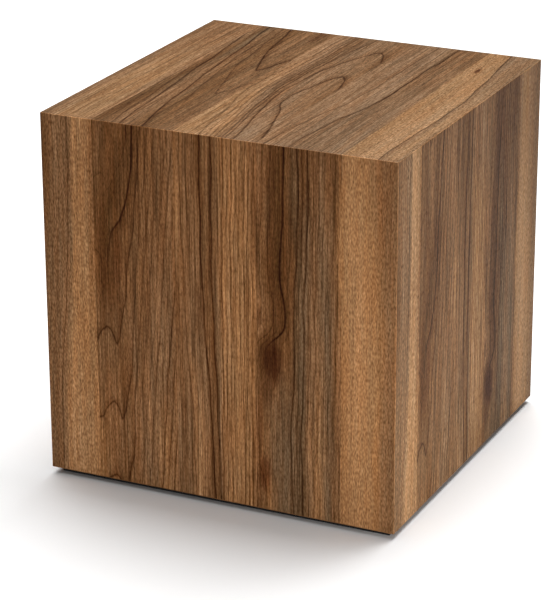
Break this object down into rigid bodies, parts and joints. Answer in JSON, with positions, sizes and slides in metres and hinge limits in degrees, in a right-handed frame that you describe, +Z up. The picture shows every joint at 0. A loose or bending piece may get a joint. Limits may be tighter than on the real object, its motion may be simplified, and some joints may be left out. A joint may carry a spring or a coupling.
{
  "type": "cube storage unit",
  "caption": "Low cube storage unit with mitred walnut-decor panels, a compartment open at the rear and a recessed black base.",
  "frame": {"origin": "centre of the cube's footprint, on the floor under the felt pads", "axes": "+X to the right, +Y to the open rear, so the closed front faces -Y, and +Z up"},
  "size_m": [0.45, 0.45, 0.4565],
  "materials": {
    "walnut_laminate": "satin",
    "walnut_edge_band": "satin",
    "walnut_lining": "matte",
    "board_core": "matte",
    "backer": "matte",
    "black_base": "matte",
    "beech": "matte",
    "zinc_screw": "satin",
    "felt": "matte"
  },
  "bodies": {
    "root": {"base_screws": "zinc_screw", "base_strip_front": "black_base", "base_strip_left": "black_base", "base_strip_rear": "black_base", "base_strip_right": "black_base", "bottom_backer": "backer", "bottom_core": "board_core", "bottom_lining": "walnut_lining", "felt_pads": "felt", "foot_band_front": "walnut_edge_band", "foot_band_left": "walnut_edge_band", "foot_band_right": "walnut_edge_band", "front_core": "board_core", "front_dowels": "beech", "front_laminate": "walnut_laminate", "front_left_biscuits": "beech", "front_lining": "walnut_lining", "front_right_biscuits": "beech", "left_core": "board_core", "left_dowels": "beech", "left_laminate": "walnut_laminate", "left_lining": "walnut_lining", "rear_band_bottom": "walnut_edge_band", "rear_band_left": "walnut_edge_band", "rear_band_right": "walnut_edge_band", "rear_band_top": "walnut_edge_band", "right_core": "board_core", "right_dowels": "beech", "right_laminate": "walnut_laminate", "right_lining": "walnut_lining", "top_core": "board_core", "top_front_biscuits": "beech", "top_laminate": "walnut_laminate", "top_left_biscuits": "beech", "top_lining": "walnut_lining", "top_right_biscuits": "beech"}
  },
  "joints": []
}
